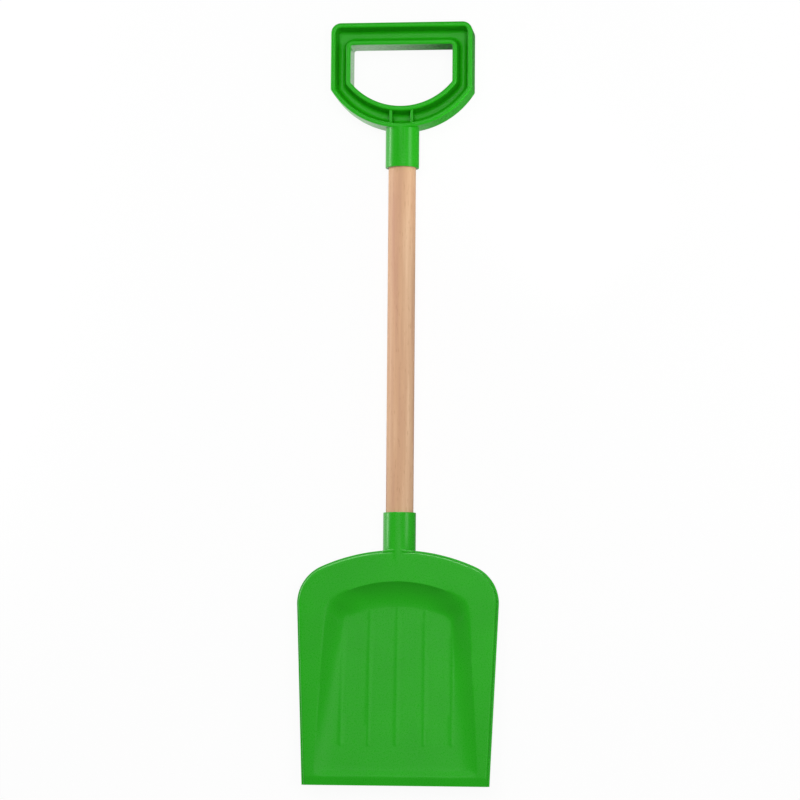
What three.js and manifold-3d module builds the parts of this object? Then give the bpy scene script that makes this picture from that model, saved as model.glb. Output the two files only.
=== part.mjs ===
// Sand shovel: a moulded scoop blade and a moulded D-grip on a beech shaft, with a screw in each socket.
// Millimetres, +Z up. The shovel lies on its back: the shaft runs along Y with the grip at +Y, the scoop's
// open front faces +Z, and the origin is on the ground under the middle of the shovel.
import * as THREE from 'three';
import { mergeVertices } from 'three/addons/utils/BufferGeometryUtils.js';
import Module from 'manifold-3d';

// Shaft, a plain dowel
const SHAFT_DIAMETER = 22;
const SHAFT_EXPOSED_LENGTH = 277; // between the two socket rims
const SHAFT_GRIP_INSERT = 30; // length held inside the grip's socket
const SHAFT_END_CHAMFER = 1.2;

// Sockets
const SOCKET_CLEARANCE = 0.3; // gap round and beyond the shaft
const SOCKET_RIM_CHAMFER = 0.5;
const BLADE_SOCKET_LENGTH = 30; // from the blade's top edge to the socket rim
const BLADE_SOCKET_WALL = 1.75;
const BLADE_SOCKET_DOME = 17; // rounded closed end behind the scoop's back wall
const GRIP_SOCKET_WALL = 2.2;
const GRIP_SOCKET_END = 0.9; // plastic between the bore's end and the D's lower edge

// Blade outline, seen from the front
const BLADE_LENGTH = 185.5;
const BLADE_WIDTH = 160.8;
const BLADE_TIP_WIDTH = 148.6;
const BLADE_CROWN_RADIUS = 150; // arc of the top edge
const BLADE_CORNER_RADIUS = 32;
const BLADE_WALL = 2.2;
const FLANGE_TILT_DEG = 2; // the flange leans forward towards the tip
const FLANGE_SINK = 0.5; // flange front behind the socket's foremost line at the top edge
const RIM_RETURN = 6; // the flange's edge is turned back this far at the top
const RIM_RETURN_AT_TIP = 2.7;
const RIM_FLARE = 1.5; // the turned-back edge spreads outwards by this much
const RIM_CHAMFER = 0.9;
const RIM_CHAMFER_AT_TIP = 0.45;
const LIP_LENGTH = 6.7; // bevelled digging edge at the tip
const LIP_DROP = 1.2;
const RAMP_LENGTH = 6; // the scoop's floor runs up to the lip over this length

// Scoop: mouth is where the flange bends down, floor is where the walls level out
const FLANGE_BAND = 25; // flat flange above the scoop's mouth
const FLANGE_SIDE = 23.2; // flat flange beside the scoop's mouth, at its back
const FLANGE_SIDE_AT_TIP = 9;
const MOUTH_CROWN_RADIUS = 108;
const MOUTH_CORNER_RADIUS = 12;
const BACK_WALL_RUN = 20;
const PAN_DEPTH = 9.5; // below the flange, at the back wall's foot
const PAN_DEPTH_AT_TIP = 1.7;
const SIDE_WALL_RUN = 15.2; // from the mouth's side in to the floor, at the back
const SIDE_WALL_RUN_AT_TIP = 15.3;
const FLOOR_CROWN_RADIUS = 100;
const FLOOR_CORNER_RADIUS = 10;
const SHAFT_TO_PAN = 5; // the shaft ends this far above the scoop's mouth

// Raised ribs along the scoop's floor
const RIB_PAIRS = 2; // each side of the middle one
const RIB_SIDE_MARGIN = 13.2; // from the mouth's side to the outermost ribs
const RIB_WIDTH = 3;
const RIB_HEIGHT = 0.4;
const RIB_TIP_MARGIN = 24; // from the lip to the ribs' lower ends
const RIB_ROOT = 1; // sunk into the floor

// D-grip
const GRIP_WIDTH = 114.2;
const GRIP_HEIGHT = 85.5;
const GRIP_ARC_RADIUS = 67.5;
const GRIP_CORNER_RADIUS = 8;
const GRIP_TOP_BAR = 18;
const GRIP_SIDE_BAR = 16;
const GRIP_LOWER_BAR = 17.6;
const HOLE_ARC_RADIUS = 52.9;
const HOLE_CORNER_RADIUS = 2;
const GRIP_WALL = 3.8;
const GRIP_WEB = 2.6;
const CROSS_RIB_SPACING = 16.8;
const CROSS_RIB_THICKNESS = 2.5;
const CROSS_RIB_BELOW_EDGE = 0.8;

// Screws
const SCREW_LENGTH = 16;
const SCREW_SHANK_DIAMETER = 3;
const SCREW_HEAD_DIAMETER = 6;
const SCREW_HEAD_HEIGHT = 1.4;
const SCREW_HEAD_EDGE = 0.3;
const SCREW_POINT_LENGTH = 3;
const SCREW_CLEARANCE = 0.3;
const COUNTERSINK_CLEARANCE = 0.15; // under the head
const SCREW_HOLE_TAIL = 3; // the hole runs on past the head, out of the socket
const SCREW_SINK = 0.1; // head below the socket's surface at the head's edge
const SCREW_RECESS_LENGTH = 3.4;
const SCREW_RECESS_WIDTH = 0.8;
const SCREW_RECESS_DEPTH = 0.7;
const BLADE_SCREW_FROM_RIM = 15;
const GRIP_SCREW_FROM_RIM = 14;

// Facets
const ROUND_SEGMENTS = 48;
const SCREW_SEGMENTS = 24;
const ARC_STEPS = 11;
const RIB_END_STEPS = 8;
const SIDE_STEPS = 7;
const CORNER_STEPS = 6;
const CROWN_STEPS = 14; // even, so that one point lies on the middle line
const WALL_STEPS = 5;
const DOME_STEPS = 8;

// Levels along the shovel, tip to grip
const shaftRadius = SHAFT_DIAMETER / 2;
const boreRadius = shaftRadius + SOCKET_CLEARANCE;
const bladeSocketRadius = boreRadius + BLADE_SOCKET_WALL;
const gripSocketRadius = boreRadius + GRIP_SOCKET_WALL;
const gripSocketLength = SHAFT_GRIP_INSERT + SOCKET_CLEARANCE + GRIP_SOCKET_END;
const bladePieceLength = BLADE_LENGTH + BLADE_SOCKET_LENGTH;
const gripPieceLength = gripSocketLength + GRIP_HEIGHT;
const totalLength = bladePieceLength + SHAFT_EXPOSED_LENGTH + gripPieceLength;
const tipY = -totalLength / 2;
const lipY = tipY + LIP_LENGTH;
const rampY = lipY + RAMP_LENGTH;
const bladeTopY = tipY + BLADE_LENGTH;
const bladeRimY = bladeTopY + BLADE_SOCKET_LENGTH;
const gripRimY = bladeRimY + SHAFT_EXPOSED_LENGTH;
const gripBottomY = gripRimY + gripSocketLength;
const gripTopY = gripBottomY + GRIP_HEIGHT;
const mouthTopY = bladeTopY - FLANGE_BAND;
const floorTopY = mouthTopY - BACK_WALL_RUN;
const shaftBottomY = mouthTopY + SHAFT_TO_PAN;
const shaftTopY = gripRimY + SHAFT_GRIP_INSERT;

// The shovel lies on its sockets and the grip, which is as deep as its socket is wide
const axisZ = Math.max(gripSocketRadius, bladeSocketRadius);
const gripDepth = 2 * gripSocketRadius;

const polypropylene = { color: 0x2ea524, roughness: 0.38, metalness: 0 };
const beech = { color: 0xd2a684, roughness: 0.65, metalness: 0 };
const zincPlatedSteel = { color: 0xb9bdc2, roughness: 0.35, metalness: 1 };

const wasm = await Module();
wasm.setup();

// A closed geometry as a solid that can be joined and cut
function solid(geometry) {
  const bare = geometry.clone();
  bare.deleteAttribute('normal');
  bare.deleteAttribute('uv');
  const merged = mergeVertices(bare, 1e-4);
  const corners = merged.index.array;
  const triangles = [];
  for (let i = 0; i < corners.length; i += 3) {
    const [a, b, c] = [corners[i], corners[i + 1], corners[i + 2]];
    if (a !== b && b !== c && c !== a) triangles.push(a, b, c);
  }
  return new wasm.Manifold(new wasm.Mesh({
    numProp: 3,
    vertProperties: new Float32Array(merged.attributes.position.array),
    triVerts: new Uint32Array(triangles),
  }));
}

function namedMesh(name, body, finish) {
  const { vertProperties, triVerts } = body.getMesh();
  const geometry = new THREE.BufferGeometry();
  geometry.setAttribute('position', new THREE.BufferAttribute(vertProperties, 3));
  geometry.setIndex(new THREE.BufferAttribute(triVerts, 1));
  geometry.computeVertexNormals();
  const mesh = new THREE.Mesh(geometry, new THREE.MeshStandardMaterial(finish));
  mesh.name = name;
  return mesh;
}

// A turned body on the shaft's axis, from [radius, y] points
function turned(profile) {
  const points = profile.map(([radius, y]) => new THREE.Vector2(radius, y));
  return solid(new THREE.LatheGeometry(points, ROUND_SEGMENTS).translate(0, 0, axisZ));
}

function socketBore(fromY, toY) {
  return turned([[0, fromY], [boreRadius, fromY], [boreRadius, toY], [0, toY]]);
}

const lerp = THREE.MathUtils.lerp;

// Blade: every outline is an inverted U of stations, from the left of the tip over the crown to the right
function bladeOutline({ halfWidth, halfTip, topY, crownRadius, cornerRadius }) {
  const crownY = topY - crownRadius;
  const cornerX = halfWidth - cornerRadius;
  const reach = crownRadius - cornerRadius;
  const cornerY = crownY + Math.sqrt(reach ** 2 - cornerX ** 2);
  const joinAngle = Math.atan2(cornerY - crownY, cornerX);
  const side = (y) => new THREE.Vector2(lerp(halfTip, halfWidth, (y - tipY) / (cornerY - tipY)), y);
  const right = [side(tipY), side(lipY)];
  for (let i = 0; i < SIDE_STEPS; i += 1) right.push(side(lerp(rampY, cornerY, i / SIDE_STEPS)));
  for (let i = 0; i < CORNER_STEPS; i += 1) {
    const angle = joinAngle * i / CORNER_STEPS;
    const [x, y] = [cornerX + cornerRadius * Math.cos(angle), cornerY + cornerRadius * Math.sin(angle)];
    right.push(new THREE.Vector2(x, y));
  }
  for (let i = 0; i < CROWN_STEPS / 2; i += 1) {
    const angle = lerp(joinAngle, Math.PI / 2, i / (CROWN_STEPS / 2));
    right.push(new THREE.Vector2(crownRadius * Math.cos(angle), crownY + crownRadius * Math.sin(angle)));
  }
  const left = right.map((p) => new THREE.Vector2(-p.x, p.y));
  return [...left, new THREE.Vector2(0, topY), ...right.reverse()];
}

function rimOutline(inset) {
  return bladeOutline({
    halfWidth: BLADE_WIDTH / 2 - inset,
    halfTip: BLADE_TIP_WIDTH / 2 - inset,
    topY: bladeTopY - inset,
    crownRadius: BLADE_CROWN_RADIUS - inset,
    cornerRadius: BLADE_CORNER_RADIUS - inset,
  });
}

const mouthHalfWidth = BLADE_WIDTH / 2 - FLANGE_SIDE;
const mouthHalfTip = BLADE_TIP_WIDTH / 2 - FLANGE_SIDE_AT_TIP;
const ribPitch = (mouthHalfWidth - RIB_SIDE_MARGIN) / RIB_PAIRS;
const mouthOutline = bladeOutline({
  halfWidth: mouthHalfWidth,
  halfTip: mouthHalfTip,
  topY: mouthTopY,
  crownRadius: MOUTH_CROWN_RADIUS,
  cornerRadius: MOUTH_CORNER_RADIUS,
});
const floorOutline = bladeOutline({
  halfWidth: mouthHalfWidth - SIDE_WALL_RUN,
  halfTip: mouthHalfTip - SIDE_WALL_RUN_AT_TIP,
  topY: floorTopY,
  crownRadius: FLOOR_CROWN_RADIUS,
  cornerRadius: FLOOR_CORNER_RADIUS,
});

const flangeRise = Math.tan(THREE.MathUtils.degToRad(FLANGE_TILT_DEG));
const flangeZ = (y) => axisZ + bladeSocketRadius - FLANGE_SINK + (bladeTopY - y) * flangeRise;
const panDepth = (y) => lerp(PAN_DEPTH_AT_TIP, PAN_DEPTH, (y - rampY) / (floorTopY - rampY));
const floorZ = (y) => flangeZ(y) - panDepth(y);
const lastStation = mouthOutline.length - 1;
const isTip = (station) => station === 0 || station === lastStation;
const isLip = (station) => station <= 1 || station >= lastStation - 1;

// One ring of points: an outline lifted to its level, with the bevelled lip at both ends
function frontRing(outline, level, drop = 0) {
  return outline.map((p, station) => {
    const tipZ = flangeZ(tipY) - LIP_DROP - Math.min(drop, RIM_CHAMFER_AT_TIP);
    return new THREE.Vector3(p.x, p.y, isTip(station) ? tipZ : level(p, station) - drop);
  });
}

function backRing(outline, depth) {
  return outline.map((p) => new THREE.Vector3(p.x, p.y, flangeZ(p.y) - depth(p.y)));
}

function returnDepth(y) {
  const share = THREE.MathUtils.clamp((y - lipY) / (mouthTopY - lipY), 0, 1);
  return lerp(RIM_RETURN_AT_TIP, RIM_RETURN, share);
}

// The wall sweeps from the mouth to the floor, steep at the mouth and level at the floor
function wallRings() {
  const rings = [];
  for (let step = 0; step <= WALL_STEPS; step += 1) {
    const share = step / WALL_STEPS;
    const fall = 1 - (1 - share) ** 2;
    const outline = mouthOutline.map((p, station) => p.clone().lerp(floorOutline[station], share));
    const mouthZ = (station) => flangeZ(mouthOutline[station].y);
    const footZ = (station) => (isLip(station) ? mouthZ(station) : floorZ(floorOutline[station].y));
    const level = (p, station) => lerp(mouthZ(station), footZ(station), fall);
    rings.push(frontRing(outline, level));
  }
  return rings;
}

// The wall's back, one wall thickness behind it, square to its section at each station
function wallBackRings(front) {
  return front.map((ring, step) => ring.map((point, station) => {
    if (isLip(station) || step === WALL_STEPS) {
      const top = isTip(station) ? flangeZ(tipY) : point.z;
      return new THREE.Vector3(point.x, point.y, top - BLADE_WALL);
    }
    const inward = floorOutline[station].clone().sub(mouthOutline[station]).normalize();
    const facing = (from, to) => {
      const run = Math.hypot(to.x - from.x, to.y - from.y);
      return new THREE.Vector2(from.z - to.z, run).normalize();
    };
    const below = facing(point, front[step + 1][station]);
    const above = step === 0 ? new THREE.Vector2(0, 1) : facing(front[step - 1][station], point);
    const normal = below.clone().add(above).normalize();
    const reach = BLADE_WALL / normal.dot(below);
    return new THREE.Vector3(
      point.x - inward.x * normal.x * reach,
      point.y - inward.y * normal.x * reach,
      point.z - normal.y * reach,
    );
  }));
}

function middleRing(ring) {
  return ring.map((p) => new THREE.Vector3(0, p.y, p.z));
}

// A closed solid over rings that start and end on the middle line, with one flat face at the tip
function ringSolid(rings) {
  const points = rings.flat();
  const at = (ring, station) => ring * (lastStation + 1) + station;
  const triangles = [];
  for (let ring = 0; ring + 1 < rings.length; ring += 1) {
    for (let station = 0; station < lastStation; station += 1) {
      const [a, b] = [at(ring, station), at(ring, station + 1)];
      const [c, d] = [at(ring + 1, station), at(ring + 1, station + 1)];
      triangles.push(a, b, d, a, d, c);
    }
  }
  const tip = [];
  for (let ring = 0; ring < rings.length; ring += 1) tip.push(at(ring, 0));
  for (let ring = rings.length - 2; ring > 0; ring -= 1) tip.push(at(ring, lastStation));
  const tipShape = tip.map((i) => new THREE.Vector2(points[i].x, points[i].z));
  const outward = THREE.ShapeUtils.isClockWise(tipShape);
  for (const [a, b, c] of THREE.ShapeUtils.triangulateShape(tipShape, [])) {
    triangles.push(tip[a], outward ? tip[c] : tip[b], outward ? tip[b] : tip[c]);
  }
  const geometry = new THREE.BufferGeometry().setFromPoints(points);
  geometry.setIndex(triangles);
  return solid(geometry);
}

const frontWall = wallRings();
const backWall = wallBackRings(frontWall);

function bladeShell() {
  const flange = (p) => flangeZ(p.y);
  const wall = () => BLADE_WALL;
  return ringSolid([
    middleRing(frontWall.at(-1)),
    ...frontWall.toReversed(),
    frontRing(rimOutline(RIM_FLARE + RIM_CHAMFER), flange),
    frontRing(rimOutline(RIM_FLARE), flange, RIM_CHAMFER),
    backRing(rimOutline(0), returnDepth),
    backRing(rimOutline(BLADE_WALL), returnDepth),
    backRing(rimOutline(BLADE_WALL), wall),
    ...backWall,
    middleRing(backWall.at(-1)),
  ]);
}

// The space inside the scoop, from half the wall's thickness below its surface up past the flange
function scoopSpace() {
  const sunk = frontWall.map((ring) => ring.map((p) => p.clone().setZ(p.z - BLADE_WALL / 2)));
  const lid = sunk[0].map((p) => p.clone().setZ(p.z + PAN_DEPTH + bladeSocketRadius));
  return ringSolid([middleRing(lid), lid, ...sunk, middleRing(sunk.at(-1))]);
}

function bladeSocket() {
  const domeY = shaftBottomY - SOCKET_CLEARANCE - BLADE_SOCKET_WALL;
  const profile = [];
  for (let i = 0; i <= DOME_STEPS; i += 1) {
    const angle = Math.PI / 2 * i / DOME_STEPS;
    const radius = i === 0 ? 0 : bladeSocketRadius * Math.sin(angle);
    profile.push([radius, domeY - BLADE_SOCKET_DOME * Math.cos(angle)]);
  }
  profile.push([bladeSocketRadius, bladeRimY - SOCKET_RIM_CHAMFER]);
  profile.push([bladeSocketRadius - SOCKET_RIM_CHAMFER, bladeRimY]);
  profile.push([0, bladeRimY]);
  return turned(profile).subtract(scoopSpace());
}

// Ribs start on the arc of the floor's upper edge and end level with each other
function floorRib(x) {
  const startY = floorTopY - FLOOR_CROWN_RADIUS + Math.sqrt(FLOOR_CROWN_RADIUS ** 2 - x ** 2);
  const endY = lipY + RIB_TIP_MARGIN;
  const slope = Math.atan2(floorZ(endY) - floorZ(startY), startY - endY);
  const length = (startY - endY) / Math.cos(slope);
  const half = RIB_WIDTH / 2;
  const outline = new THREE.Shape();
  outline.absarc(0, -half, half, 0, Math.PI);
  outline.absarc(0, half - length, half, Math.PI, 2 * Math.PI);
  const rib = new THREE.ExtrudeGeometry(outline, {
    depth: RIB_HEIGHT + RIB_ROOT,
    bevelEnabled: false,
    curveSegments: RIB_END_STEPS,
  });
  return solid(rib.translate(0, 0, -RIB_ROOT).rotateX(-slope).translate(x, startY, floorZ(startY)));
}

// Screws: the same turned profile, grown by a clearance, is also the hole that takes the screw
function screwProfile(grow, deepen, tail) {
  const head = SCREW_HEAD_DIAMETER / 2 + grow;
  const shank = SCREW_SHANK_DIAMETER / 2 + grow;
  return [
    [0, -tail],
    [head, -tail],
    [head, SCREW_HEAD_EDGE + deepen],
    [shank, SCREW_HEAD_HEIGHT + deepen],
    [shank, SCREW_LENGTH - SCREW_POINT_LENGTH + grow],
    [0, SCREW_LENGTH + grow],
  ];
}

function screwAt(y, socketRadius, profile) {
  const headRadius = SCREW_HEAD_DIAMETER / 2;
  const faceZ = axisZ - Math.sqrt(socketRadius ** 2 - headRadius ** 2) + SCREW_SINK;
  const points = profile.map(([radius, height]) => new THREE.Vector2(radius, height));
  const screw = new THREE.LatheGeometry(points, SCREW_SEGMENTS);
  return { body: solid(screw.rotateX(Math.PI / 2).translate(0, y, faceZ)), faceZ };
}

function makeScrew(y, socketRadius) {
  const { body, faceZ } = screwAt(y, socketRadius, screwProfile(0, 0, 0));
  const along = new THREE.BoxGeometry(SCREW_RECESS_WIDTH, SCREW_RECESS_LENGTH, 2 * SCREW_RECESS_DEPTH);
  const across = new THREE.BoxGeometry(SCREW_RECESS_LENGTH, SCREW_RECESS_WIDTH, 2 * SCREW_RECESS_DEPTH);
  const recess = solid(along.translate(0, y, faceZ)).add(solid(across.translate(0, y, faceZ)));
  return body.subtract(recess);
}

function screwHole(y, socketRadius) {
  const profile = screwProfile(SCREW_CLEARANCE, COUNTERSINK_CLEARANCE, SCREW_HOLE_TAIL);
  return screwAt(y, socketRadius, profile).body;
}

const bladeScrewY = bladeRimY - BLADE_SCREW_FROM_RIM;
const gripScrewY = gripRimY + GRIP_SCREW_FROM_RIM;
const bladeScrewHole = screwHole(bladeScrewY, bladeSocketRadius);
const gripScrewHole = screwHole(gripScrewY, gripSocketRadius);

function makeBlade() {
  let body = bladeShell().add(bladeSocket());
  for (let i = -RIB_PAIRS; i <= RIB_PAIRS; i += 1) body = body.add(floorRib(i * ribPitch));
  const bore = socketBore(shaftBottomY - SOCKET_CLEARANCE, bladeRimY + SOCKET_RIM_CHAMFER);
  return body.subtract(bore).subtract(bladeScrewHole);
}

function makeShaft() {
  const narrow = shaftRadius - SHAFT_END_CHAMFER;
  const dowel = turned([
    [0, shaftBottomY],
    [narrow, shaftBottomY],
    [shaftRadius, shaftBottomY + SHAFT_END_CHAMFER],
    [shaftRadius, shaftTopY - SHAFT_END_CHAMFER],
    [narrow, shaftTopY],
    [0, shaftTopY],
  ]);
  return dowel.subtract(bladeScrewHole).subtract(gripScrewHole);
}

// D-grip: a flat top, straight sides and a round lower edge
function dOutline(PathClass, { halfWidth, topY, bottomY, arcRadius, cornerRadius }) {
  const arcY = bottomY + arcRadius;
  const halfAngle = Math.asin(halfWidth / arcRadius);
  const path = new PathClass();
  path.absarc(0, arcY, arcRadius, -Math.PI / 2 - halfAngle, -Math.PI / 2 + halfAngle);
  path.absarc(halfWidth - cornerRadius, topY - cornerRadius, cornerRadius, 0, Math.PI / 2);
  path.absarc(cornerRadius - halfWidth, topY - cornerRadius, cornerRadius, Math.PI / 2, Math.PI);
  path.closePath();
  return path;
}

// The outer outline drawn in by a distance, and the hand hole's outline let out by one
function gripOutline(PathClass, inset) {
  return dOutline(PathClass, {
    halfWidth: GRIP_WIDTH / 2 - inset,
    topY: gripTopY - inset,
    bottomY: gripBottomY + inset,
    arcRadius: GRIP_ARC_RADIUS - inset,
    cornerRadius: GRIP_CORNER_RADIUS - inset,
  });
}

function holeOutline(PathClass, outset) {
  return dOutline(PathClass, {
    halfWidth: GRIP_WIDTH / 2 - GRIP_SIDE_BAR + outset,
    topY: gripTopY - GRIP_TOP_BAR + outset,
    bottomY: gripBottomY + GRIP_LOWER_BAR - outset,
    arcRadius: HOLE_ARC_RADIUS + outset,
    cornerRadius: HOLE_CORNER_RADIUS + outset,
  });
}

function plate(outer, hole, lowZ, highZ) {
  outer.holes.push(hole);
  const geometry = new THREE.ExtrudeGeometry(outer, {
    depth: highZ - lowZ,
    bevelEnabled: false,
    curveSegments: ARC_STEPS,
  });
  return solid(geometry.translate(0, 0, lowZ));
}

function crossRib(x, fromZ, toZ) {
  const lowY = gripBottomY + GRIP_WALL / 2;
  const highY = gripBottomY + GRIP_LOWER_BAR - GRIP_WALL / 2;
  const rib = new THREE.BoxGeometry(CROSS_RIB_THICKNESS, highY - lowY, toZ - fromZ);
  return solid(rib.translate(x, (lowY + highY) / 2, (fromZ + toZ) / 2));
}

function makeGrip() {
  const [backZ, frontZ] = [axisZ - gripDepth / 2, axisZ + gripDepth / 2];
  const channel = (lowZ, highZ) => plate(
    gripOutline(THREE.Shape, GRIP_WALL), holeOutline(THREE.Path, GRIP_WALL), lowZ, highZ,
  );
  let body = plate(gripOutline(THREE.Shape, 0), holeOutline(THREE.Path, 0), backZ, frontZ);
  body = body.subtract(channel(axisZ + GRIP_WEB / 2, frontZ + GRIP_WALL));
  body = body.subtract(channel(backZ - GRIP_WALL, axisZ - GRIP_WEB / 2));
  for (const side of [-1, 1]) {
    const [lowZ, highZ] = [backZ + CROSS_RIB_BELOW_EDGE, frontZ - CROSS_RIB_BELOW_EDGE];
    body = body.add(crossRib(side * CROSS_RIB_SPACING / 2, lowZ, highZ));
  }
  const arcRise = GRIP_ARC_RADIUS - Math.sqrt(GRIP_ARC_RADIUS ** 2 - gripSocketRadius ** 2);
  const socketTopY = gripBottomY + (GRIP_WALL + arcRise) / 2;
  const socket = turned([
    [0, gripRimY],
    [gripSocketRadius - SOCKET_RIM_CHAMFER, gripRimY],
    [gripSocketRadius, gripRimY + SOCKET_RIM_CHAMFER],
    [gripSocketRadius, socketTopY],
    [0, socketTopY],
  ]);
  const bore = socketBore(gripRimY - SOCKET_RIM_CHAMFER, shaftTopY + SOCKET_CLEARANCE);
  return body.add(socket).subtract(bore).subtract(gripScrewHole);
}

const shovel = new THREE.Group();
shovel.add(namedMesh('blade', makeBlade(), polypropylene));
shovel.add(namedMesh('shaft', makeShaft(), beech));
shovel.add(namedMesh('grip', makeGrip(), polypropylene));
shovel.add(namedMesh('blade_screw', makeScrew(bladeScrewY, bladeSocketRadius), zincPlatedSteel));
shovel.add(namedMesh('grip_screw', makeScrew(gripScrewY, gripSocketRadius), zincPlatedSteel));

export default shovel;
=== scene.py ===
import math

import bpy
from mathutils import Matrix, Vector


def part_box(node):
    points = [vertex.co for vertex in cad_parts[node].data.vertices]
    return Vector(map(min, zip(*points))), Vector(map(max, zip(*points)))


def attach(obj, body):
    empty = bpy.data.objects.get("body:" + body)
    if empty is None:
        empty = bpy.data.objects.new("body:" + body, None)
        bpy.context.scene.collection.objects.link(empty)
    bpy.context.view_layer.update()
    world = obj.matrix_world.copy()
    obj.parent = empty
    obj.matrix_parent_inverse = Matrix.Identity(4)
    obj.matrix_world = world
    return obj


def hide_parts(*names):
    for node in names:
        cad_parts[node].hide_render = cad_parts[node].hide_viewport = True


mm = 0.001  # the pieces' settings are in millimetres, the scene in metres
facing = 0.9  # how squarely a face looks along an axis to count as an end
smoothAngle = 35  # edges sharper than this stay crisp, in degrees

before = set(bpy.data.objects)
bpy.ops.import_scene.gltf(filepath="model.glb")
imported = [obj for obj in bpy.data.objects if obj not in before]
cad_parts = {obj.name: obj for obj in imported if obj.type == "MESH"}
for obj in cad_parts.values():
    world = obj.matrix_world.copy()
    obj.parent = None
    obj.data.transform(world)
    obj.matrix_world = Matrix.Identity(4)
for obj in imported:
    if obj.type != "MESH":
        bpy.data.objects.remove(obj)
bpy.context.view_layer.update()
scene = bpy.context.scene

# the shaft's axis and ends place everything else
bladeLow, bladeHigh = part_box("blade")
gripLow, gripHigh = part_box("grip")
shaftLow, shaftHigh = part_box("shaft")
axisZ = (shaftLow.z + shaftHigh.z) / 2
shaftRadius = (shaftHigh.x - shaftLow.x) / 2
print("frame loaded,", len(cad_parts), "nodes,", round((gripHigh.y - bladeLow.y) / mm), "mm long")


# ways of working

def deselectAll():
    if bpy.context.object and bpy.context.object.mode != "OBJECT":
        bpy.ops.object.mode_set(mode="OBJECT")
    bpy.ops.object.select_all(action="DESELECT")


def workOn(piece):
    deselectAll()
    piece.select_set(True)
    bpy.context.view_layer.objects.active = piece


def named(name):
    piece = bpy.context.object
    piece.name = piece.data.name = name
    return piece


def lerp(a, b, share):
    return a + (b - a) * share


# from 0 to 1, level at both ends
def ease(share):
    return share * share * (3 - 2 * share)


# a flat grid is laid out column by column, each crossing moved to where place says
def formGrid(name, columns, rows, place):
    deselectAll()
    bpy.ops.mesh.primitive_grid_add(x_subdivisions=columns - 1, y_subdivisions=rows - 1, size=2)
    piece = named(name)
    for vertex in piece.data.vertices:
        column = round((vertex.co.x + 1) / 2 * (columns - 1))
        row = round((vertex.co.y + 1) / 2 * (rows - 1))
        vertex.co = place(column, row)
    return piece


# closes the seams of a wrapped grid and turns its faces outwards
def weld(piece, gap=0.01 * mm):
    workOn(piece)
    bpy.ops.object.mode_set(mode="EDIT")
    bpy.ops.mesh.select_all(action="SELECT")
    bpy.ops.mesh.remove_doubles(threshold=gap)
    bpy.ops.mesh.dissolve_degenerate(threshold=gap)
    bpy.ops.mesh.normals_make_consistent(inside=False)
    bpy.ops.object.mode_set(mode="OBJECT")


def finishWith(piece, kind, **settings):
    workOn(piece)
    modifier = piece.modifiers.new(kind.lower(), kind)
    for key, value in settings.items():
        setattr(modifier, key, value)
    bpy.ops.object.modifier_apply(modifier=modifier.name)


# joins a second solid on, or cuts it out, and takes it away
def combine(piece, other, operation):
    finishWith(piece, "BOOLEAN", operation=operation, solver="EXACT", object=other)
    bpy.data.objects.remove(other, do_unlink=True)


def smoothShade(piece):
    workOn(piece)
    bpy.ops.object.shade_smooth_by_angle(angle=math.radians(smoothAngle))


# a bar on the shaft's axis: a cylinder laid along Y
def addBar(name, radius, fromY, toY, sides):
    deselectAll()
    bpy.ops.mesh.primitive_cylinder_add(
        vertices=sides, radius=radius, depth=toY - fromY, end_fill_type="NGON",
        location=(0, (fromY + toY) / 2, axisZ), rotation=(-math.pi / 2, 0, 0))
    bpy.ops.object.transform_apply(location=True, rotation=True, scale=True)
    return named(name)


# selects the faces that pass a test, and leaves edit mode on
def selectFaces(piece, test):
    workOn(piece)
    bpy.ops.object.mode_set(mode="EDIT")
    bpy.ops.mesh.select_mode(type="FACE")
    bpy.ops.mesh.select_all(action="DESELECT")
    bpy.ops.object.mode_set(mode="OBJECT")
    for face in piece.data.polygons:
        face.select = test(face)
    bpy.ops.object.mode_set(mode="EDIT")


# rounds both edges of a socket's rim
def roundRim(socket, rimY, radius):
    near = 0.1 * mm
    selectFaces(socket, lambda face: abs(face.normal.y) > facing and abs(face.center.y - rimY) < near)
    bpy.ops.mesh.region_to_loop()
    bpy.ops.mesh.bevel(offset=radius * mm, segments=3, affect="EDGES")
    bpy.ops.object.mode_set(mode="OBJECT")


def dress(piece, material, slot, *nodes):
    piece.data.materials.clear()
    piece.data.materials.append(material)
    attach(piece, "root")
    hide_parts(*nodes)


# materials

def srgb(hexColour):
    channels = [int(hexColour[i:i + 2], 16) / 255 for i in (1, 3, 5)]
    linear = [c / 12.92 if c <= 0.04045 else ((c + 0.055) / 1.055) ** 2.4 for c in channels]
    return (*linear, 1)


def newMaterial(name):
    material = bpy.data.materials.new(name)
    material.use_nodes = True
    tree = material.node_tree
    return material, tree, tree.nodes["Principled BSDF"]


# adds a node, sets its properties, colour stops and sockets, and links what is given as a socket;
# i0, i1 and i2 number the sockets that share a name
def addNode(tree, kind, properties=None, stops=(), **sockets):
    node = tree.nodes.new(kind)
    for key, value in (properties or {}).items():
        setattr(node, key, value)
    elements = node.color_ramp.elements if stops else ()
    while len(elements) < len(stops):
        elements.new(0.5)
    for element, (position, colour) in zip(elements, stops):
        element.position = position
        element.color = srgb(colour)
    for key, value in sockets.items():
        socket = node.inputs[int(key[1:])] if key[0] == "i" and key[1:].isdigit() else node.inputs[key]
        if isinstance(value, bpy.types.NodeSocket):
            tree.links.new(value, socket)
        else:
            socket.default_value = value
    return node


def perMm(size):
    return 1 / (size * mm)


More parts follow.
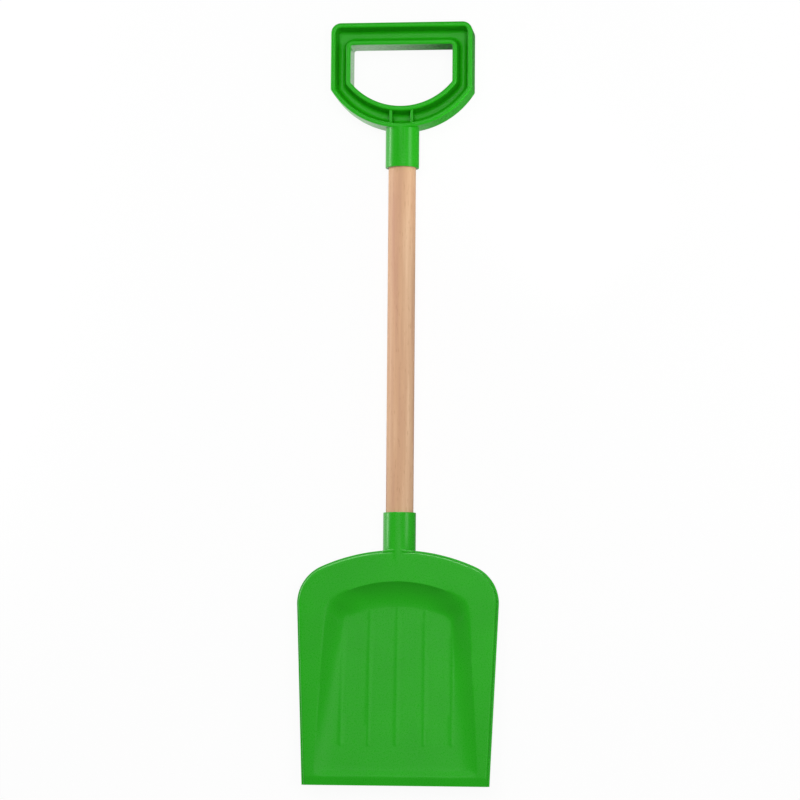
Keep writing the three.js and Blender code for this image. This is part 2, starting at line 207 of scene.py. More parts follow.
# moulded polypropylene: clean even colour, satin gloss, faint waviness and fine mould grain, which is
# drawn coarser than it is so that it shows
def mouldedPolypropylene():
    look = {"deep": (0.3, "#1DA40E"), "colour": (0.7, "#1FA90F"), "satin": (0.24, 0.32), "ior": 1.49,
            "cloudMm": 38, "wavinessMm": 9, "wavinessDepthMm": 0.4, "waviness": 0.06,
            "grainMm": 0.7, "grainDepthMm": 0.05, "grain": 0.05}
    material, tree, shader = newMaterial("moulded_polypropylene")
    place = addNode(tree, "ShaderNodeTexCoord").outputs["Object"]
    cloud = addNode(tree, "ShaderNodeTexNoise", Vector=place, Scale=perMm(look["cloudMm"]), Detail=2.0)
    tint = addNode(tree, "ShaderNodeValToRGB", stops=[look["deep"], look["colour"]], Fac=cloud.outputs["Fac"])
    waves = addNode(tree, "ShaderNodeTexNoise", Vector=place, Scale=perMm(look["wavinessMm"]), Detail=1.0)
    grain = addNode(tree, "ShaderNodeTexNoise", Vector=place, Scale=perMm(look["grainMm"]), Detail=2.0)
    least, most = look["satin"]
    satin = addNode(tree, "ShaderNodeMapRange", Value=grain.outputs["Fac"],
                    **{"To Min": least, "To Max": most})
    wavy = addNode(tree, "ShaderNodeBump", Strength=look["waviness"], Distance=look["wavinessDepthMm"] * mm,
                   Height=waves.outputs["Fac"])
    fine = addNode(tree, "ShaderNodeBump", Strength=look["grain"], Distance=look["grainDepthMm"] * mm,
                   Height=grain.outputs["Fac"], Normal=wavy.outputs["Normal"])
    tree.links.new(tint.outputs["Color"], shader.inputs["Base Color"])
    tree.links.new(satin.outputs["Result"], shader.inputs["Roughness"])
    tree.links.new(fine.outputs["Normal"], shader.inputs["Normal"])
    shader.inputs["IOR"].default_value = look["ior"]
    return material


# sanded beech: pale pinkish brown, long soft streaks and short dark flecks along the dowel
def sandedBeech():
    look = {"dark": (0.3, "#C8987A"), "mid": (0.5, "#D4A883"), "light": (0.7, "#E2BC97"), "fleck": "#B5845E",
            "streakMm": (3.2, 90, 3.2), "ringMm": (9, 400, 9), "fleckMm": (0.8, 7, 0.8),
            "streakShare": 0.6, "ringShare": 0.6, "toneShift": -0.1, "fleckRange": (0.62, 0.74),
            "fleckShare": 0.42, "fleckDepthMm": 0.15, "fleckBump": 0.25, "rough": 0.58, "ior": 1.5}
    material, tree, shader = newMaterial("sanded_beech")
    place = addNode(tree, "ShaderNodeTexCoord").outputs["Object"]
    grain = {}
    for name, detail in (("streakMm", 3.0), ("ringMm", 1.0), ("fleckMm", 1.0)):
        stretch = addNode(tree, "ShaderNodeMapping", Vector=place, Scale=[perMm(size) for size in look[name]])
        noise = addNode(tree, "ShaderNodeTexNoise", Vector=stretch.outputs["Vector"],
                        Scale=1.0, Detail=detail)
        grain[name] = noise.outputs["Fac"]
    tone = addNode(tree, "ShaderNodeMath", {"operation": "MULTIPLY_ADD"},
                   i0=grain["streakMm"], i1=look["streakShare"], i2=look["toneShift"])
    both = addNode(tree, "ShaderNodeMath", {"operation": "MULTIPLY_ADD"},
                   i0=grain["ringMm"], i1=look["ringShare"], i2=tone.outputs["Value"])
    wood = addNode(tree, "ShaderNodeValToRGB", stops=[look["dark"], look["mid"], look["light"]],
                   Fac=both.outputs["Value"])
    faint, full = look["fleckRange"]
    spots = addNode(tree, "ShaderNodeMapRange", Value=grain["fleckMm"],
                    **{"From Min": faint, "From Max": full, "To Max": look["fleckShare"]})
    flecked = addNode(tree, "ShaderNodeMix", {"data_type": "RGBA"})
    tree.links.new(spots.outputs["Result"], flecked.inputs["Factor"])
    tree.links.new(wood.outputs["Color"], flecked.inputs["A"])
    flecked.inputs["B"].default_value = srgb(look["fleck"])
    bump = addNode(tree, "ShaderNodeBump", Strength=look["fleckBump"], Distance=look["fleckDepthMm"] * mm,
                   Height=grain["fleckMm"])
    tree.links.new(flecked.outputs["Result"], shader.inputs["Base Color"])
    tree.links.new(bump.outputs["Normal"], shader.inputs["Normal"])
    shader.inputs["Roughness"].default_value = look["rough"]
    shader.inputs["IOR"].default_value = look["ior"]
    return material


# zinc plated steel: bright grey, slightly mottled where the plating has dulled
def zincPlatedSteel():
    look = {"dull": (0.35, "#A3A8AC"), "bright": (0.65, "#C4C8CC"), "rough": (0.25, 0.45), "mottleMm": 1.1}
    material, tree, shader = newMaterial("zinc_plated_steel")
    place = addNode(tree, "ShaderNodeTexCoord").outputs["Object"]
    mottle = addNode(tree, "ShaderNodeTexNoise", Vector=place, Scale=perMm(look["mottleMm"]), Detail=3.0)
    tint = addNode(tree, "ShaderNodeValToRGB", stops=[look["dull"], look["bright"]],
                   Fac=mottle.outputs["Fac"])
    least, most = look["rough"]
    rough = addNode(tree, "ShaderNodeMapRange", Value=mottle.outputs["Fac"],
                    **{"To Min": least, "To Max": most})
    tree.links.new(tint.outputs["Color"], shader.inputs["Base Color"])
    tree.links.new(rough.outputs["Result"], shader.inputs["Roughness"])
    shader.inputs["Metallic"].default_value = 1.0
    return material


greenPlastic = mouldedPolypropylene()
beechWood = sandedBeech()
screwSteel = zincPlatedSteel()
print("materials ready")


# camera: nearly straight down on the lying shovel, a little from its right and from the tip

view = {"place": (0.2774, -0.2097, 2.4679), "turn": (0.0851, 0.1127, 0.0078),
        "lens": 139.6, "sensor": 36, "far": 50}
bpy.ops.object.camera_add(location=view["place"])
camera = bpy.context.object
camera.rotation_mode = "ZXY"
camera.rotation_euler = view["turn"]
camera.data.lens = view["lens"]
camera.data.sensor_width = view["sensor"]
camera.data.clip_end = view["far"]
scene.camera = camera


# screw body: countersunk head, shank and point; grown by a spare, it is the hole for that screw

screw = {"headRadius": 3, "headEdge": 0.3, "headDepth": 1.4, "shankRadius": 1.5, "point": 3, "sides": 48,
         "tipShare": 0.05, "recess": (3.4, 0.8, 0.7), "edgeRound": 0.08, "edgeAngle": 50,
         "spare": 0.25, "tail": 1, "seam": 0.001}


def screwBody(name, node, spare=0, tail=0):
    low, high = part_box(node)
    foot = (0, (low.y + high.y) / 2, low.z - tail * mm)
    head, slim = screw["headRadius"] + spare, screw["shankRadius"] + spare
    shank = (high.z - low.z) / mm - screw["headDepth"] - screw["point"] + spare
    deselectAll()
    bpy.ops.mesh.primitive_circle_add(
        vertices=screw["sides"], radius=head * mm, fill_type="NGON", location=foot)
    bpy.ops.object.transform_apply(location=True, rotation=True, scale=True)
    piece = named(name)
    workOn(piece)
    bpy.ops.object.mode_set(mode="EDIT")
    bpy.ops.mesh.select_all(action="SELECT")
    edge, cone = screw["headEdge"] + tail, screw["headDepth"] - screw["headEdge"]
    for rise, draw in ((edge, 1), (cone, slim / head), (shank, 1), (screw["point"], screw["tipShare"])):
        bpy.ops.mesh.extrude_region_move(TRANSFORM_OT_translate={"value": (0, 0, rise * mm)})
        bpy.ops.transform.resize(value=(draw, draw, 1), center_override=foot)
    bpy.ops.mesh.select_all(action="SELECT")
    bpy.ops.mesh.normals_make_consistent(inside=False)
    bpy.ops.object.mode_set(mode="OBJECT")
    weld(piece, screw["seam"] * mm)
    return piece


def drillFor(piece, node):
    combine(piece, screwBody("screw_hole", node, screw["spare"], screw["tail"]), "DIFFERENCE")


# blade: one closed skin wrapped round the scoop's section, with its socket and ribs joined on

blade = {
    # outline, and the flange that rises from the socket to the tip
    "tipHalf": 74.3, "crownRadius": 150, "cornerRadius": 32, "wall": 2.2, "flangeTilt": 2, "flangeSink": 0.5,
    # rim turned back from the flange, its bead as shares of the way down and of the way out
    "rimReturn": 6, "rimReturnTip": 2.7, "rimFlare": 1.5, "rimRound": 1.6, "rimInside": 0.7,
    "rimFoot": ((0.4, 0), (0.74, 0), (0.76, 0.06), (0.76, 0.5), (0.77, 0.92), (0.8, 1), (1, 1)),
    # digging lip, then the scoop's mouth, floor and wall
    "lipLength": 6.7, "lipDrop": 1.2, "rampLength": 6,
    "band": 25, "mouthHalf": 57.2, "mouthTipHalf": 65.3, "mouthCrown": 108, "mouthCorner": 12,
    "floorHalf": 42, "floorTipHalf": 50, "floorCrown": 100, "floorCorner": 10,
    "wallRun": 20, "wallCurve": 2.3, "depth": 9.5, "depthTip": 1.7,
    "cornerSoftness": 0.85, "sideFade": 4, "crownFade": 2.2,
    # points round the outline and rows across the skin
    "lipSteps": 5, "rampSteps": 6, "sideSteps": 40, "cornerSteps": 18, "crownSteps": 26,
    "returnRows": 3, "roundRows": 5, "flangeRows": 12, "wallRows": 26, "floorRows": 12,
    # socket, the dome that ends it and the neck where it meets the flange
    "socketRadius": 13.05, "socketBore": 11.3, "socketLength": 30, "socketSides": 96, "socketRimRound": 0.5,
    "shaftToPan": 5, "shaftGap": 0.3, "endWall": 1.75, "domeLength": 17, "domeSteps": 8, "domeStop": 0.4,
    "trimChord": 0.6, "trimDepth": 0.75, "neckLength": 0.4, "neckSink": 2, "neckSquare": 9, "neckInset": 0.03,
    "neckUnder": 0.1, "neckSides": 48, "neckRows": 12,
    # ribs on the floor
    "ribPlaces": (-2, -1, 0, 1, 2), "ribPitch": 22, "ribWidth": 3, "ribHeight": 0.28, "ribRoot": 1,
    "ribTipMargin": 24, "ribSides": 32,
}
tipY = bladeLow.y / mm
lipY = tipY + blade["lipLength"]
rampY = lipY + blade["rampLength"]
bladeTopY = bladeHigh.y / mm - blade["socketLength"]
mouthTopY = bladeTopY - blade["band"]
floorTopY = mouthTopY - blade["wallRun"]
flangeRise = math.tan(math.radians(blade["flangeTilt"]))


def flangeZ(y):
    top = axisZ / mm + blade["socketRadius"] - blade["flangeSink"]
    return top + (bladeTopY - y) * flangeRise


# how far the bevelled digging edge has dropped at a place along the blade
def lipFall(y):
    return blade["lipDrop"] * max(0, lipY - y) / blade["lipLength"]


# the floor falls from the tip to the back wall, and runs up to the lip over the ramp
def floorZ(y):
    depth = lerp(blade["depthTip"], blade["depth"], (y - rampY) / (floorTopY - rampY))
    climb = min(1, max(0, (y - lipY) / blade["rampLength"]))
    return flangeZ(y) - depth * ease(climb) - lipFall(y)


# an inverted U of points, from the left of the tip over the crown to the right
def bladeOutline(halfWidth, halfTip, topY, crownRadius, cornerRadius):
    crownY = topY - crownRadius
    cornerX = halfWidth - cornerRadius
    cornerY = crownY + math.sqrt((crownRadius - cornerRadius) ** 2 - cornerX ** 2)
    joinAngle = math.atan2(cornerY - crownY, cornerX)
    lip, ramp, side = blade["lipSteps"], blade["rampSteps"], blade["sideSteps"]
    right = []
    for fromY, toY, steps in ((tipY, lipY, lip), (lipY, rampY, ramp), (rampY, cornerY, side)):
        for i in range(steps):
            y = lerp(fromY, toY, i / steps)
            right.append((lerp(halfTip, halfWidth, (y - tipY) / (cornerY - tipY)), y))
    for i in range(blade["cornerSteps"]):
        angle = joinAngle * i / blade["cornerSteps"]
        right.append((cornerX + cornerRadius * math.cos(angle), cornerY + cornerRadius * math.sin(angle)))
    for i in range(blade["crownSteps"]):
        angle = lerp(joinAngle, math.pi / 2, i / blade["crownSteps"])
        right.append((crownRadius * math.cos(angle), crownY + crownRadius * math.sin(angle)))
    left = [(-x, y) for x, y in right]
    return left + [(0, topY)] + right[::-1]


def rimOutline(inset):
    return bladeOutline(
        bladeHigh.x / mm - inset, blade["tipHalf"] - inset, bladeTopY - inset,
        blade["crownRadius"] - inset, blade["cornerRadius"] - inset)


# how soft the bend at the mouth is, round the U: crisp over the crown, soft at the corners and sides
def mouthSoftness(station, last):
    fromTip = min(station, last - station) - blade["lipSteps"] - blade["rampSteps"]
    corner, crown = blade["sideSteps"], blade["sideSteps"] + blade["cornerSteps"]
    softest = blade["cornerSoftness"]
    if fromTip < corner:
        return softest * max(0, fromTip / corner) ** blade["sideFade"]
    if fromTip < crown:
        return softest
    return max(0, softest - blade["crownFade"] * (fromTip - crown) / blade["crownSteps"])


# rings over the front, from the middle line of the floor out to the flange's edge
def frontRings():
    mouth = bladeOutline(
        blade["mouthHalf"], blade["mouthTipHalf"], mouthTopY, blade["mouthCrown"], blade["mouthCorner"])
    floor = bladeOutline(
        blade["floorHalf"], blade["floorTipHalf"], floorTopY, blade["floorCrown"], blade["floorCorner"])
    edge = rimOutline(blade["rimFlare"] + blade["rimRound"])
    last = len(mouth) - 1
    rings = []
    for i in range(blade["floorRows"]):
        share = i / blade["floorRows"]
        rings.append([(x * share, y, floorZ(y)) for x, y in floor])
    # the wall levels out at the floor and bends over at the mouth
    for i in range(blade["wallRows"], 0, -1):
        share = i / blade["wallRows"]
        crisp = 1 - (1 - share) ** blade["wallCurve"]
        soft = ease(share)
        ring = []
        for station, ((a, b), (c, d)) in enumerate(zip(mouth, floor)):
            fall = lerp(crisp, soft, mouthSoftness(station, last))
            z = lerp(flangeZ(b) - lipFall(b), floorZ(d), fall)
            ring.append((lerp(a, c, share), lerp(b, d, share), z))
        rings.append(ring)
    for i in range(blade["flangeRows"] + 1):
        share = i / blade["flangeRows"]
        ring = [(lerp(a, c, share), lerp(b, d, share)) for (a, b), (c, d) in zip(mouth, edge)]
        rings.append([(x, y, flangeZ(y) - lipFall(y)) for x, y in ring])
    return rings


# the edge turned back from the flange: rounded over, straight down, and out to a bead along its foot
def rimRings():
    radius, flare = blade["rimRound"], blade["rimFlare"]
    rings = []
    for i in range(1, blade["roundRows"] + 1):
        angle = math.pi / 2 * i / blade["roundRows"]
        outline = rimOutline(flare + radius * (1 - math.sin(angle)))
        rings.append([(x, y, flangeZ(y) - radius * (1 - math.cos(angle)) - lipFall(y)) for x, y in outline])

    def lowered(inset, start, share):
        ring = []
        for x, y in rimOutline(inset):
            back = min(1, max(0, (y - lipY) / (mouthTopY - lipY)))
            deep = lerp(blade["rimReturnTip"], blade["rimReturn"], back)
            ring.append((x, y, flangeZ(y) - lerp(start, deep, share) - lipFall(y) * (1 - share)))
        return ring

    for share, spread in blade["rimFoot"]:
        rings.append(lowered(flare * (1 - spread), radius, share))
    inside = flare + blade["rimInside"] * blade["wall"]
    for i in range(blade["returnRows"] + 1):
        rings.append(lowered(inside, blade["wall"], 1 - i / blade["returnRows"]))
    return rings


# the same skin one wall behind the front, thinned to an edge at the tip
def backRings(front):
    rings = []
    for j, ring in enumerate(front):
        before, after = front[max(j - 1, 0)], front[min(j + 1, len(front) - 1)]
        behind = []
        for i, point in enumerate(ring):
            along = Vector(ring[min(i + 1, len(ring) - 1)]) - Vector(ring[max(i - 1, 0)])
            across = Vector(after[i]) - Vector(before[i])
            normal = along.cross(across).normalized() if along.cross(across).length > 0 else Vector((0, 0, 1))
            normal = normal if normal.z > 0 else -normal
            if point[1] <= lipY or j == 0:
                normal = Vector((0, 0, 1))
            behind.append(tuple(Vector(point) - normal * (blade["wall"] - lipFall(point[1]))))
        rings.append(behind)
    return rings


def bladeSkin():
    front = frontRings()
    back = backRings(front)[:-1]
    rings = front + rimRings() + back[::-1]
    skin = formGrid("blade_moulding", len(rings[0]), len(rings), lambda i, j: Vector(rings[j][i]) * mm)
    weld(skin)
    # the open end at the tip is closed by the digging edge's face
    bpy.ops.object.mode_set(mode="EDIT")
    bpy.ops.mesh.select_mode(type="EDGE")
    bpy.ops.mesh.select_all(action="DESELECT")
    bpy.ops.mesh.select_non_manifold()
    bpy.ops.mesh.fill()
    bpy.ops.mesh.select_all(action="SELECT")
    bpy.ops.mesh.normals_make_consistent(inside=False)
    bpy.ops.object.mode_set(mode="OBJECT")
    return skin


bladePiece = bladeSkin()
print("blade skin", len(bladePiece.data.polygons), "faces")


# socket: a bar drawn in to a dome at its lower end, hollowed from its upper end
def bladeSocket():
    rimY = bladeHigh.y
    endY = (mouthTopY + blade["shaftToPan"] - blade["shaftGap"] - blade["endWall"]) * mm
    socket = addBar("blade_socket", blade["socketRadius"] * mm, endY, rimY, blade["socketSides"])
    selectFaces(socket, lambda face: face.normal.y < -facing)
    steps = blade["domeSteps"]
    for i in range(1, steps + 1):
        before = math.pi / 2 * (i - 1) / steps
        now = math.pi / 2 * min(i, steps - blade["domeStop"]) / steps
        reach = blade["domeLength"] * mm * (math.sin(now) - math.sin(before))
        draw = math.cos(now) / math.cos(before)
        bpy.ops.mesh.extrude_region_move(TRANSFORM_OT_translate={"value": (0, -reach, 0)})
        bpy.ops.transform.resize(value=(draw, 1, draw), center_override=(0, 0, axisZ))
    # what would stand inside the scoop is cut away behind the back wall's surface
    chord = blade["trimChord"]
    fall = (floorZ(floorTopY) - flangeZ(mouthTopY)) * (1 - (1 - chord) ** 2)
    along = Vector((0, -blade["wallRun"] * chord, fall)).normalized()
    back = Vector((0, -along.z, along.y))
    inWall = Vector((0, mouthTopY, flangeZ(mouthTopY))) + back * blade["wall"] * blade["trimDepth"]
    bpy.ops.mesh.select_all(action="SELECT")
    bpy.ops.mesh.bisect(plane_co=inWall * mm, plane_no=back, use_fill=True, clear_inner=True)
    selectFaces(socket, lambda face: face.normal.y > facing)
    wall = (blade["socketRadius"] - blade["socketBore"]) * mm
    bpy.ops.mesh.inset(thickness=wall)
    depth = rimY - shaftLow.y + blade["shaftGap"] * mm
    bpy.ops.mesh.extrude_region_move(TRANSFORM_OT_translate={"value": (0, -depth, 0)})
    roundRim(socket, rimY, blade["socketRimRound"])
    return socket


# neck: the round socket squares up as it runs into the flange's edge
def socketNeck():
    wide = blade["socketRadius"] - blade["neckInset"]
    sides, rows = blade["neckSides"], blade["neckRows"]
    startY, endY = bladeTopY + blade["neckLength"], bladeTopY - blade["neckSink"]
    lowEnd = flangeZ(endY) - axisZ / mm - blade["neckUnder"]

    def place(i, j):
        along = j / rows
        square = 2 + blade["neckSquare"] * ease(along)
        angle = math.pi * i / sides if i <= sides else 0  # the last column closes the flat underside
        across, up = math.cos(angle), abs(math.sin(angle))
        size = (abs(across) ** square + up ** square) ** (-1 / square)
        high = lerp(wide, lowEnd, along)
        return Vector((wide * size * across, lerp(startY, endY, along), axisZ / mm + high * size * up)) * mm

    neck = formGrid("socket_neck", sides + 2, rows + 1, place)
    weld(neck)
    workOn(neck)
    bpy.ops.object.mode_set(mode="EDIT")
    bpy.ops.mesh.select_all(action="SELECT")
    bpy.ops.mesh.fill_holes(sides=0)
    bpy.ops.mesh.select_all(action="SELECT")
    bpy.ops.mesh.normals_make_consistent(inside=False)
    bpy.ops.object.mode_set(mode="OBJECT")
    return neck


socketPiece = bladeSocket()
print("blade socket", len(socketPiece.data.polygons), "faces")
combine(socketPiece, socketNeck(), "UNION")
combine(bladePiece, socketPiece, "UNION")


# a rib: the top of a round bar laid along the floor, rooted inside the wall so the back stays smooth
def floorRib(x):
    startY = floorTopY - blade["floorCrown"] + math.sqrt(blade["floorCrown"] ** 2 - x ** 2)
    endY = lipY + blade["ribTipMargin"]
    slope = math.atan2(floorZ(endY) - floorZ(startY), startY - endY)
    half, rise = blade["ribWidth"] / 2, blade["ribHeight"]
    radius = (half ** 2 + rise ** 2) / (2 * rise)
    length = (startY - endY) / math.cos(slope)
    deselectAll()
    bpy.ops.mesh.primitive_uv_sphere_add(
        segments=blade["ribSides"], ring_count=blade["ribSides"] // 2, radius=radius * mm)
    rib = named("floor_rib")
    for vertex in rib.data.vertices:
        vertex.co.y += (0.5 if vertex.co.y > 0 else -0.5) * (length - 2 * half) * mm
    workOn(rib)
    bpy.ops.object.mode_set(mode="EDIT")
    bpy.ops.mesh.select_all(action="SELECT")
    rootZ = radius - rise - blade["ribRoot"]
    bpy.ops.mesh.bisect(plane_co=(0, 0, rootZ * mm), plane_no=(0, 0, 1), use_fill=True, clear_inner=True)
    bpy.ops.object.mode_set(mode="OBJECT")
    rib.rotation_euler = (-slope, 0, 0)
    middleY = (startY + endY) / 2
    rib.location = Vector((x, middleY, floorZ(middleY) + rise - radius)) * mm
    bpy.ops.object.transform_apply(location=True, rotation=True, scale=True)
    return rib


for i in blade["ribPlaces"]:
    combine(bladePiece, floorRib(i * blade["ribPitch"]), "UNION")
drillFor(bladePiece, "blade_screw")
smoothShade(bladePiece)
dress(bladePiece, greenPlastic, "green_polypropylene", "blade")
print("blade", len(bladePiece.data.polygons), "faces")


# grip: a band of H section swept round the D, with its socket and cross ribs joined on

grip = {
    # the D, the hand hole and the bars between them
    "arcRadius": 67.5, "corner": 8, "chin": 2, "topBar": 18, "sideBar": 16, "lowerBar": 17.6,
    "holeArc": 52.9, "holeCorner": 2, "holeChin": 1.5, "leastRadius": 0.3,
    # section of the bars
    "wall": 3.8, "draft": 1.4, "web": 2.6, "rimRound": 1.3, "fillet": 2.4, "profileSteps": 4, "webRows": 5,
    "arcSteps": 36, "chinSteps": 5, "sideSteps": 12, "cornerSteps": 9, "topSteps": 18,
    # socket and cross ribs
    "socketRadius": 13.5, "socketBore": 11.3, "socketLength": 31.2, "socketSides": 96, "socketRimRound": 0.5,
    "socketSink": 0.7, "shaftGap": 0.3,
    "ribSpacing": 16.8, "ribThick": 2.5, "ribBelowEdge": 1.8, "ribShift": 1, "ribRound": 0.8,
}
gripHalf = gripHigh.x / mm
gripTopY = gripHigh.y / mm
gripFront = gripHigh.z / mm
gripBottomY = gripLow.y / mm + grip["socketLength"]
outerD = {"half": gripHalf, "top": gripTopY, "bottom": gripBottomY, "arc": grip["arcRadius"],
          "corner": grip["corner"], "chin": grip["chin"], "grow": -1}
holeD = {"half": gripHalf - grip["sideBar"], "top": gripTopY - grip["topBar"],
         "bottom": gripBottomY + grip["lowerBar"], "arc": grip["holeArc"],
         "corner": grip["holeCorner"], "chin": grip["holeChin"], "grow": 1}


# points round a D, grown or shrunk by an offset, from the bottom up the right side and round
def ringOfD(shape, offset):
    change = offset * shape["grow"]
    half, top, arc = shape["half"] + change, shape["top"] + change, shape["arc"] + change
    corner = max(grip["leastRadius"], shape["corner"] + change)
    chin = max(grip["leastRadius"], shape["chin"] + change)
    centreY = shape["bottom"] + shape["arc"]
    chinX = half - chin
    chinY = centreY - math.sqrt((arc - chin) ** 2 - chinX ** 2)
    joinAngle = math.atan2(chinY - centreY, chinX)
    right = []
    for i in range(grip["arcSteps"]):
        angle = lerp(-math.pi / 2, joinAngle, i / grip["arcSteps"])
        right.append((arc * math.cos(angle), centreY + arc * math.sin(angle)))
    for i in range(grip["chinSteps"]):
        angle = lerp(joinAngle, 0, i / grip["chinSteps"])
        right.append((chinX + chin * math.cos(angle), chinY + chin * math.sin(angle)))
    for i in range(grip["sideSteps"]):
        right.append((half, lerp(chinY, top - corner, i / grip["sideSteps"])))
    for i in range(grip["cornerSteps"]):
        angle = math.pi / 2 * i / grip["cornerSteps"]
        right.append((half - corner + corner * math.cos(angle), top - corner + corner * math.sin(angle)))
    for i in range(grip["topSteps"]):
        right.append((lerp(half - corner, 0, i / grip["topSteps"]), top))
    left = [(-x, y) for x, y in right[1:]]
    return right + [(0, top)] + left[::-1] + [right[0]]


# one wall of the H, from the middle of its outer face over the rim and down to the web
def wallProfile():
    front, mid = gripFront, gripFront / 2
    web = mid + grip["web"] / 2
    wall, r, f = grip["wall"], grip["rimRound"], grip["fillet"]
    foot = wall + grip["draft"]
    steps = grip["profileSteps"]
    turns = [math.pi / 2 * i / steps for i in range(steps + 1)]
    points = [(0, lerp(mid, front - r, i / steps)) for i in range(steps)]
    points += [(r - r * math.cos(turn), front - r + r * math.sin(turn)) for turn in turns]
    points += [(wall - r + r * math.sin(turn), front - r + r * math.cos(turn)) for turn in turns]
    points += [(lerp(wall, foot, i / steps), lerp(front - r, web + f, i / steps)) for i in range(1, steps)]
    points += [(foot + f - f * math.cos(turn), web + f - f * math.sin(turn)) for turn in turns]
    return points


def gripBand():
    profile = wallProfile()
    front = [[(x, y, z) for x, y in ringOfD(outerD, offset)] for offset, z in profile]
    inner = [[(x, y, z) for x, y in ringOfD(holeD, offset)] for offset, z in profile]
    outerFoot, innerFoot = front[-1], inner[-1]
    for i in range(1, grip["webRows"]):
        share = i / grip["webRows"]
        front.append([tuple(lerp(a, b, share) for a, b in zip(p, q)) for p, q in zip(outerFoot, innerFoot)])
    front += inner[::-1]
    back = [[(x, y, gripFront - z) for x, y, z in ring] for ring in front[::-1]]
    rings = front + back + [front[0]]
    band = formGrid("grip_moulding", len(rings[0]), len(rings), lambda i, j: Vector(rings[j][i]) * mm)
    weld(band)
    return band


gripPiece = gripBand()
print("grip band", len(gripPiece.data.polygons), "faces")


# socket of the grip, its closed end inside the lower wall of the D
def gripSocket():
    rimY = gripLow.y
    endY = (gripBottomY + grip["socketSink"] * grip["wall"]) * mm
    socket = addBar("grip_socket", grip["socketRadius"] * mm, rimY, endY, grip["socketSides"])
    selectFaces(socket, lambda face: face.normal.y < -facing)
    bpy.ops.mesh.inset(thickness=(grip["socketRadius"] - grip["socketBore"]) * mm)
    depth = shaftHigh.y + grip["shaftGap"] * mm - rimY
    bpy.ops.mesh.extrude_region_move(TRANSFORM_OT_translate={"value": (0, depth, 0)})
    roundRim(socket, rimY, grip["socketRimRound"])
    return socket


def crossRib(x):
    deselectAll()
    reach = grip["lowerBar"] - grip["wall"]
    high = gripFront - 2 * grip["ribBelowEdge"]
    middleY = gripBottomY + grip["ribShift"] + grip["lowerBar"] / 2
    bpy.ops.mesh.primitive_cube_add(
        size=1, location=(x * mm, middleY * mm, gripFront / 2 * mm),
        scale=(grip["ribThick"] * mm, reach * mm, high * mm))
    bpy.ops.object.transform_apply(location=True, rotation=True, scale=True)
    rib = named("cross_rib")
    finishWith(rib, "BEVEL", width=grip["ribRound"] * mm, segments=3)
    return rib


combine(gripPiece, gripSocket(), "UNION")
for side in (-1, 1):
    combine(gripPiece, crossRib(side * grip["ribSpacing"] / 2), "UNION")
drillFor(gripPiece, "grip_screw")
smoothShade(gripPiece)
dress(gripPiece, greenPlastic, "green_polypropylene", "grip")
print("grip", len(gripPiece.data.polygons), "faces")


# shaft: a dowel with its ends taken off

shaft = {"chamfer": 1.2, "chamferAngle": 60, "sides": 128}
shaftPiece = addBar("beech_dowel", shaftRadius, shaftLow.y, shaftHigh.y, shaft["sides"])
finishWith(shaftPiece, "BEVEL", width=shaft["chamfer"] * mm, segments=3,
           limit_method="ANGLE", angle_limit=math.radians(shaft["chamferAngle"]))
drillFor(shaftPiece, "blade_screw")
drillFor(shaftPiece, "grip_screw")
smoothShade(shaftPiece)
dress(shaftPiece, beechWood, "beech", "shaft")
print("shaft", len(shaftPiece.data.polygons), "faces")


# screws: a cross recess in each head, on the backs of both sockets

def addScrew(name, node):
    piece = screwBody(name, node)
    low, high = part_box(node)
    middle = (0, (low.y + high.y) / 2, low.z)
    length, width, deep = screw["recess"]
    for size in ((length, width), (width, length)):
        deselectAll()
        bpy.ops.mesh.primitive_cube_add(
            size=1, location=middle, scale=(size[0] * mm, size[1] * mm, 2 * deep * mm))
        bpy.ops.object.transform_apply(location=True, rotation=True, scale=True)
        combine(piece, named("recess"), "DIFFERENCE")
    finishWith(piece, "BEVEL", width=screw["edgeRound"] * mm, segments=2,
               limit_method="ANGLE", angle_limit=math.radians(screw["edgeAngle"]))
    smoothShade(piece)
    dress(piece, screwSteel, "zinc_steel", node)


addScrew("blade_fixing_screw", "blade_screw")
addScrew("grip_fixing_screw", "grip_screw")
print("screws in")


# floor and light

# the paper's glow in gloss is painted: a bright painted reflection on the left, a painted shadow on the right
paper = {"size": 8, "colour": "#F2F2F2", "rough": 0.9, "whiteShare": 0.93,
         "paintedGlowLeft": 1.0, "paintedShadowRight": 0.1, "paintedShadowEdges": (-0.03, 0.03)}
bpy.ops.mesh.primitive_plane_add(size=paper["size"])
floorPlane = named("floor")
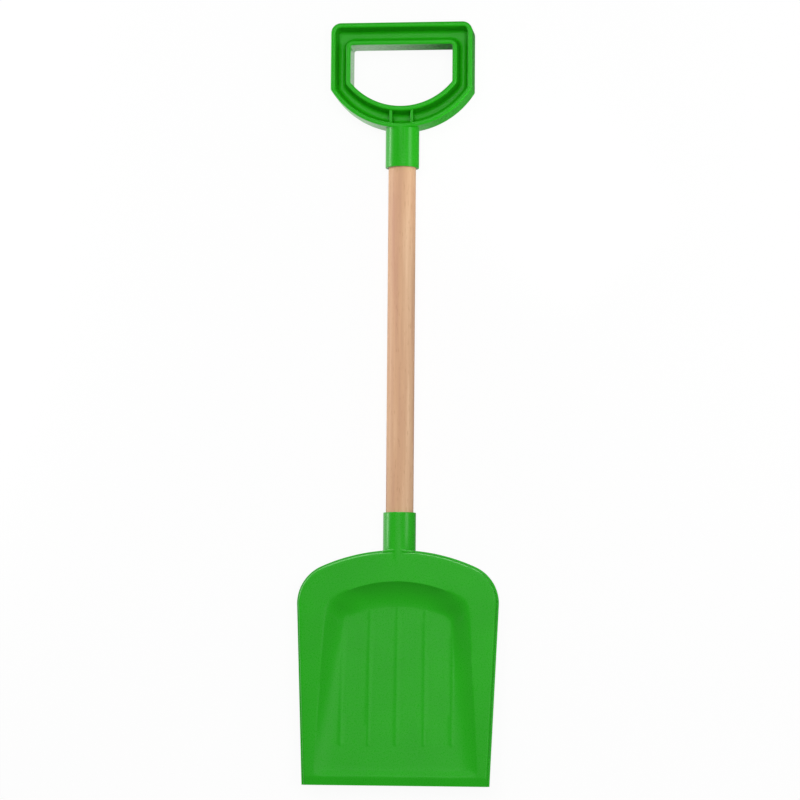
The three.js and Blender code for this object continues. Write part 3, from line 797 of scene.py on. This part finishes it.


# white paper, brought up to full white where the camera sees it, keeping a faint shadow; in the plastic's
# gloss it is a painted reflection that glows bright on the left and falls to a painted shadow on the right
def whitePaper():
    material, tree, shader = newMaterial("white_paper")
    shader.inputs["Base Color"].default_value = srgb(paper["colour"])
    shader.inputs["Roughness"].default_value = paper["rough"]
    shader.inputs["Specular IOR Level"].default_value = 0.0
    path = addNode(tree, "ShaderNodeLightPath")
    place = addNode(tree, "ShaderNodeTexCoord")
    axes = addNode(tree, "ShaderNodeSeparateXYZ", Vector=place.outputs["Object"])
    # painted shadow: the glow seen in gloss fades from full white on the left to a tenth on the right
    left, right = paper["paintedShadowEdges"]
    shade = addNode(tree, "ShaderNodeMapRange", Value=axes.outputs["X"],
                    **{"From Min": left, "From Max": right,
                       "To Min": paper["paintedGlowLeft"], "To Max": paper["paintedShadowRight"]})
    paintedReflection = addNode(tree, "ShaderNodeEmission", Color=(1, 1, 1, 1), Strength=shade.outputs["Result"])
    mirrored = addNode(tree, "ShaderNodeMixShader", i0=path.outputs["Is Glossy Ray"],
                       i1=shader.outputs["BSDF"], i2=paintedReflection.outputs["Emission"])
    share = addNode(tree, "ShaderNodeMath", {"operation": "MULTIPLY"},
                    i0=path.outputs["Is Camera Ray"], i1=paper["whiteShare"])
    white = addNode(tree, "ShaderNodeEmission", Color=(1, 1, 1, 1), Strength=1.0)
    both = addNode(tree, "ShaderNodeMixShader", i0=share.outputs["Value"],
                   i1=mirrored.outputs["Shader"], i2=white.outputs["Emission"])
    tree.links.new(both.outputs["Shader"], tree.nodes["Material Output"].inputs["Surface"])
    return material


floorPlane.data.materials.append(whitePaper())


# places and sizes in metres, power in watts
def addLamp(name, place, aim, size, power, mirrored=True, lighting=True):
    bpy.ops.object.light_add(type="AREA", location=place)
    lamp = named(name)
    lamp.data.shape = "RECTANGLE"
    lamp.data.size, lamp.data.size_y = size
    lamp.data.energy = power
    lamp.rotation_euler = (Vector(aim) - Vector(place)).to_track_quat("-Z", "Y").to_euler()
    lamp.visible_camera = False
    lamp.visible_glossy = mirrored
    lamp.visible_diffuse = lighting
    return lamp


# an even ceiling, and a softbox and strips at the sides for the streaks on the tubes
addLamp("ceiling_diffuser", (0.28, 0.35, 2.7), (0, 0, 0), (2.8, 1.2), 58, mirrored=False)
addLamp("left_softbox", (-1.2, 0.6, 0.3), (0, 0.6, 0), (0.8, 0.6), 1.4)
addLamp("left_strip", (-0.5, 0.25, 0.05), (0, 0.25, 0.02), (0.7, 0.1), 1.45)
addLamp("right_strip", (0.52, 0.17, 0.33), (0, 0.17, 0.02), (0.46, 0.2), 0.7)

# a low narrow beam on the grip's lower right face, which misses the shaft
gripSide = addLamp("grip_side", (0.2, 0.08, 0.05), (0.05, 0.245, 0.015), (0.12, 0.06), 0.042, mirrored=False)
gripSide.data.spread = math.radians(60)

# a far softbox for the bright line on the blade's rim, and a dark card that keeps it off the grip's rims
addLamp("far_softbox", (0, 2.2, 0.75), (0, 0, 0), (3, 0.7), 80, lighting=False)
card = {"width": 0.5, "height": 0.13, "behind": 0.42, "colour": "#101010"}
deselectAll()
bpy.ops.mesh.primitive_plane_add(
    size=1, location=(0, card["behind"], card["height"] / 2), rotation=(math.pi / 2, 0, 0))
darkCard = named("dark_card")
bpy.ops.transform.resize(value=(card["width"], 1, card["height"]))
workOn(darkCard)
bpy.ops.object.transform_apply(location=True, rotation=True, scale=True)
cardBlack, _, cardShader = newMaterial("black_card")
cardShader.inputs["Base Color"].default_value = srgb(card["colour"])
darkCard.data.materials.append(cardBlack)
darkCard.visible_camera = False
darkCard.visible_diffuse = False

# a dim white room that is full white to the camera
room = {"fill": 0.2, "white": 1}
world = bpy.data.worlds.new("studio")
scene.world = world
world.use_nodes = True
sky = world.node_tree.nodes["Background"]
sky.inputs["Color"].default_value = (1, 1, 1, 1)
path = addNode(world.node_tree, "ShaderNodeLightPath")
level = addNode(world.node_tree, "ShaderNodeMath", {"operation": "MULTIPLY_ADD"},
                i0=path.outputs["Is Camera Ray"], i1=room["white"] - room["fill"], i2=room["fill"])
world.node_tree.links.new(level.outputs["Value"], sky.inputs["Strength"])
scene.view_settings.view_transform = "Standard"
